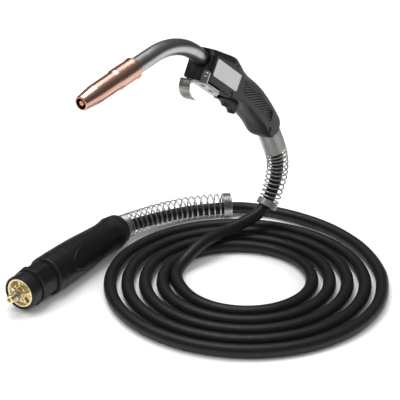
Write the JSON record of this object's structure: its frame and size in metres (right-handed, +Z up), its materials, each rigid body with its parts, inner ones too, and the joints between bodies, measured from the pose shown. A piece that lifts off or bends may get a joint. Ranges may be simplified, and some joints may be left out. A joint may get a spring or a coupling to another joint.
{
  "type": "mig welding torch",
  "caption": "Gas-cooled mig welding torch: gooseneck with copper nozzle, trigger handle with hanging hook, coiled cable with spring guards and a round machine connector.",
  "frame": {"origin": "under the middle of the torch without its cable, on the floor", "axes": "+X from the nozzle and the plug towards the cable's end of both, +Z up; the nozzle points towards -X"},
  "size_m": [0.442, 0.397, 0.3305],
  "materials": {
    "copper": "polished copper",
    "red_copper": "drawn copper",
    "brass": "bright brass",
    "steel": "satin steel",
    "bright_steel": "bright zinc plated steel",
    "black_plastic": "fine matt texture",
    "black_rubber": "smooth matt rubber",
    "plate": "satin blank plate",
    "phenolic": "dark brown moulding",
    "grey_plastic": "moulded"
  },
  "bodies": {
    "torch": {"handle_left": "black_plastic", "handle_right": "black_plastic", "handle_screw_1": "steel", "handle_screw_2": "steel", "handle_screw_3": "steel", "side_plate": "plate", "rear_collar": "black_rubber", "neck_jacket": "steel", "neck_conductor": "red_copper", "wire_liner": "steel", "neck_clamp_block": "brass", "cable_crimp": "red_copper", "trigger_pin": "steel", "switch_bracket": "grey_plastic", "switch_body": "black_plastic", "trigger_spring": "bright_steel", "hanging_hook": "bright_steel", "hook_screw": "steel", "nozzle_insulator": "phenolic", "gas_diffuser": "brass", "contact_tip": "red_copper", "handle_spring_guard": "steel", "cable_to_handle": "black_rubber", "cable_coil": "black_rubber", "cable_to_connector": "black_rubber", "connector_spring_guard": "steel", "connector_rear_collar": "black_rubber", "cable_stem": "brass", "connector_shell_left": "black_plastic", "connector_shell_right": "black_plastic", "shell_screw": "steel", "plug_body": "brass", "plug_ring": "black_plastic", "wire_guide_pin": "steel"},
    "trigger": {"trigger": "black_plastic"},
    "switch_plunger": {"switch_plunger": "grey_plastic"},
    "nozzle": {"nozzle": "copper"},
    "union_nut": {"union_nut": "black_plastic"},
    "control_pin_1": {"control_pin_1": "brass"},
    "control_pin_2": {"control_pin_2": "brass"}
  },
  "joints": [
    {"name": "trigger_pull", "type": "hinge", "parent": "torch", "child": "trigger", "pos_m": [0.05119, -0.07744, 0.23989], "axis": [0, -1, 0], "range_deg": [0, 5], "stiffness_Nm_per_rad": 1, "springref_deg": -5.73, "deforming": ["trigger_spring"]},
    {"name": "switch_press", "type": "slide", "parent": "torch", "child": "switch_plunger", "axis": [0.5664, 0, 0.8241], "range_m": [0, 0.0014]},
    {"name": "nozzle_pull", "type": "slide", "parent": "torch", "child": "nozzle", "axis": [-0.9863, 0, -0.165], "range_m": [0, 0.09]},
    {"name": "nut_turn", "type": "hinge", "parent": "torch", "child": "union_nut", "pos_m": [-0.13978, 0.06157, 0.02501], "axis": [0.9966, 0.0819, -0.0122], "continuous": true},
    {"name": "pin_1_press", "type": "slide", "parent": "torch", "child": "control_pin_1", "axis": [0.9966, 0.0819, -0.0122], "range_m": [0, 0.003], "stiffness_N_per_m": 400, "springref_m": -0.002},
    {"name": "pin_2_press", "type": "slide", "parent": "torch", "child": "control_pin_2", "axis": [0.9966, 0.0819, -0.0122], "range_m": [0, 0.003], "stiffness_N_per_m": 400, "springref_m": -0.002}
  ],
  "couplings": [
    {"joint": "switch_press", "follows": "trigger_pull", "m_per_rad": 0.0145}
  ]
}
